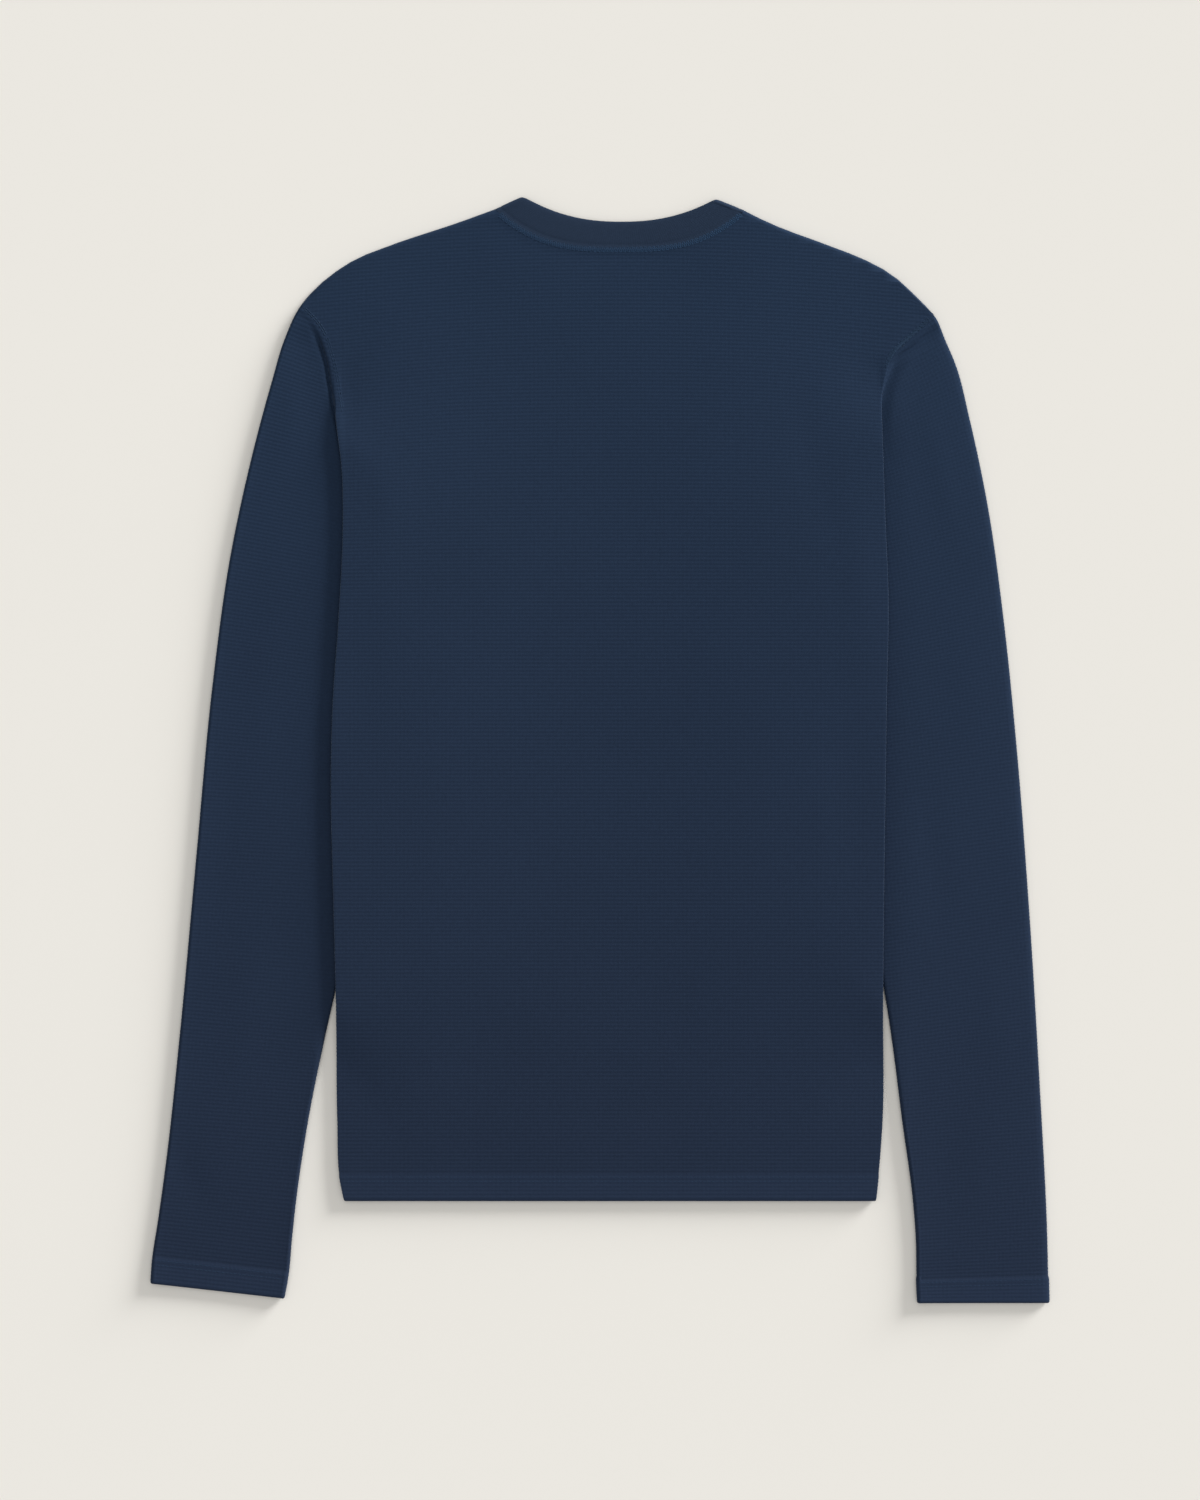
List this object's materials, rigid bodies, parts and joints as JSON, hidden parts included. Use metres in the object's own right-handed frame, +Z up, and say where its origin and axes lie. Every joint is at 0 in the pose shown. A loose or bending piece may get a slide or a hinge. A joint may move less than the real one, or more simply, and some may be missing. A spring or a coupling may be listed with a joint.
{
  "type": "thermal top",
  "caption": "Long-sleeved crew-neck thermal top in ribbed knit, laid flat with its back up and its sleeves down its sides.",
  "frame": {"origin": "on the ground, under the middle of the garment's box", "axes": "+Y runs from the hem to the neck, +X to the wearer's right sleeve, +Z up from the ground through the back of the garment"},
  "size_m": [0.6292, 0.7736, 0.0089],
  "materials": {
    "knit": "matte ribbed thermal knit, dark navy",
    "band": "matte fine rib knit, dark navy"
  },
  "bodies": {
    "root": {"back": "knit", "front": "knit", "sleeve_left": "knit", "sleeve_right": "knit", "neckband": "band"}
  },
  "joints": []
}
